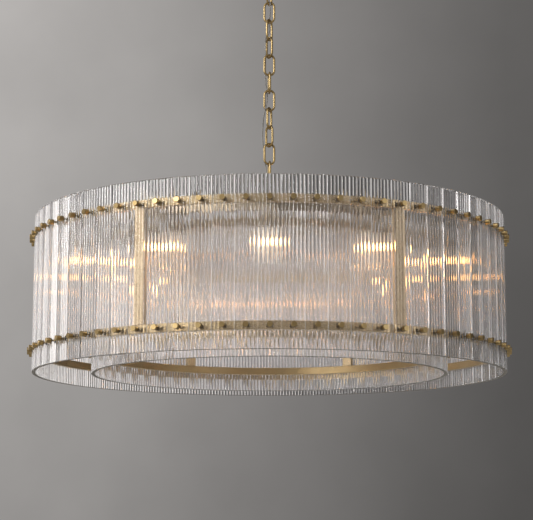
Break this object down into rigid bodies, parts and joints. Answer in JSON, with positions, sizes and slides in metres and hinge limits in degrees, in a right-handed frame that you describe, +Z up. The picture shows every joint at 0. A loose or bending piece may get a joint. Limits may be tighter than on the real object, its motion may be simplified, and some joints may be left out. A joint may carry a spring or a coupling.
{
  "type": "chandelier",
  "caption": "Two nested drums of fluted glass panels on brass hoops, with lamps between them, hung by a link chain from a round ceiling canopy.",
  "frame": {"origin": "middle of the ceiling strap's upper face, where it meets the ceiling", "axes": "+Z up out of the ceiling face, the front faces -Y, +X to the viewer's right"},
  "size_m": [1.22, 1.22, 1.1319],
  "materials": {
    "brass": "satin",
    "aged_brass": "satin, darker",
    "zinc_steel": "zinc plated",
    "fluted_glass": "clear, fluted outside",
    "lamp_glass": "warm white, lit",
    "cord_sleeve": "smooth grey sleeve"
  },
  "bodies": {
    "ceiling_mounting": {"ceiling_strap": "zinc_steel", "ceiling_canopy": "brass", "screw_collar": "brass", "canopy_loop": "brass", "lamp_cord": "cord_sleeve"},
    "link_01": {"chain_link_01": "brass"},
    "link_02": {"chain_link_02": "brass"},
    "link_03": {"chain_link_03": "brass"},
    "link_04": {"chain_link_04": "brass"},
    "link_05": {"chain_link_05": "brass"},
    "link_06": {"chain_link_06": "brass"},
    "link_07": {"chain_link_07": "brass"},
    "link_08": {"chain_link_08": "brass"},
    "link_09": {"chain_link_09": "brass"},
    "link_10": {"chain_link_10": "brass"},
    "link_11": {"chain_link_11": "brass"},
    "lamp": {"hub_loop": "brass", "arm_spider": "brass", "hub_finial": "aged_brass", "outer_top_hoop": "brass", "outer_bottom_hoop": "brass", "inner_top_hoop": "brass", "inner_bottom_hoop": "brass", "outer_post_1": "brass", "outer_post_2": "brass", "outer_post_3": "brass", "outer_post_4": "brass", "outer_post_5": "brass", "outer_post_6": "brass", "inner_post_1": "brass", "inner_post_2": "brass", "inner_post_3": "brass", "inner_post_4": "brass", "inner_post_5": "brass", "inner_post_6": "brass", "lamp_ring": "brass", "lamp_bulb_01": "lamp_glass", "lamp_bulb_02": "lamp_glass", "lamp_bulb_03": "lamp_glass", "lamp_bulb_04": "lamp_glass", "lamp_bulb_05": "lamp_glass", "lamp_bulb_06": "lamp_glass", "lamp_bulb_07": "lamp_glass", "lamp_bulb_08": "lamp_glass", "lamp_bulb_09": "lamp_glass", "lamp_bulb_10": "lamp_glass", "lamp_bulb_11": "lamp_glass", "lamp_bulb_12": "lamp_glass", "outer_glass_1": "fluted_glass", "outer_glass_2": "fluted_glass", "outer_glass_3": "fluted_glass", "outer_glass_4": "fluted_glass", "outer_glass_5": "fluted_glass", "outer_glass_6": "fluted_glass", "inner_glass_1": "fluted_glass", "inner_glass_2": "fluted_glass", "inner_glass_3": "fluted_glass", "inner_glass_4": "fluted_glass", "inner_glass_5": "fluted_glass", "inner_glass_6": "fluted_glass"}
  },
  "joints": [
    {"name": "link_01_swing", "type": "hinge", "parent": "ceiling_mounting", "child": "link_01", "pos_m": [0, 0, -0.0856], "axis": [-0.9063, 0.4226, 0], "range_deg": [-10, 10], "deforming": ["lamp_cord"]},
    {"name": "link_02_swing", "type": "hinge", "parent": "link_01", "child": "link_02", "pos_m": [0, 0, -0.1343], "axis": [0.0349, 0.9994, 0], "range_deg": [-10, 10]},
    {"name": "link_03_swing", "type": "hinge", "parent": "link_02", "child": "link_03", "pos_m": [0, 0, -0.183], "axis": [-0.866, 0.5, 0], "range_deg": [-10, 10]},
    {"name": "link_04_swing", "type": "hinge", "parent": "link_03", "child": "link_04", "pos_m": [0, 0, -0.2317], "axis": [-0.848, -0.5299, 0], "range_deg": [-10, 10]},
    {"name": "link_05_swing", "type": "hinge", "parent": "link_04", "child": "link_05", "pos_m": [0, 0, -0.2804], "axis": [0.0698, -0.9976, 0], "range_deg": [-10, 10]},
    {"name": "link_06_swing", "type": "hinge", "parent": "link_05", "child": "link_06", "pos_m": [0, 0, -0.3291], "axis": [-0.9903, -0.1392, 0], "range_deg": [-10, 10]},
    {"name": "link_07_swing", "type": "hinge", "parent": "link_06", "child": "link_07", "pos_m": [0, 0, -0.3778], "axis": [-0.0349, 0.9994, 0], "range_deg": [-10, 10]},
    {"name": "link_08_swing", "type": "hinge", "parent": "link_07", "child": "link_08", "pos_m": [0, 0, -0.4265], "axis": [-0.9205, 0.3907, 0], "range_deg": [-10, 10]},
    {"name": "link_09_swing", "type": "hinge", "parent": "link_08", "child": "link_09", "pos_m": [0, 0, -0.4752], "axis": [-0.7771, -0.6293, 0], "range_deg": [-10, 10]},
    {"name": "link_10_swing", "type": "hinge", "parent": "link_09", "child": "link_10", "pos_m": [0, 0, -0.5239], "axis": [0.1908, -0.9816, 0], "range_deg": [-10, 10]},
    {"name": "link_11_swing", "type": "hinge", "parent": "link_10", "child": "link_11", "pos_m": [0, 0, -0.5726], "axis": [-0.9903, -0.1392, 0], "range_deg": [-10, 10]},
    {"name": "lamp_swing", "type": "hinge", "parent": "link_11", "child": "lamp", "pos_m": [0, 0, -0.6213], "axis": [0, 1, 0], "range_deg": [-10, 10]}
  ]
}
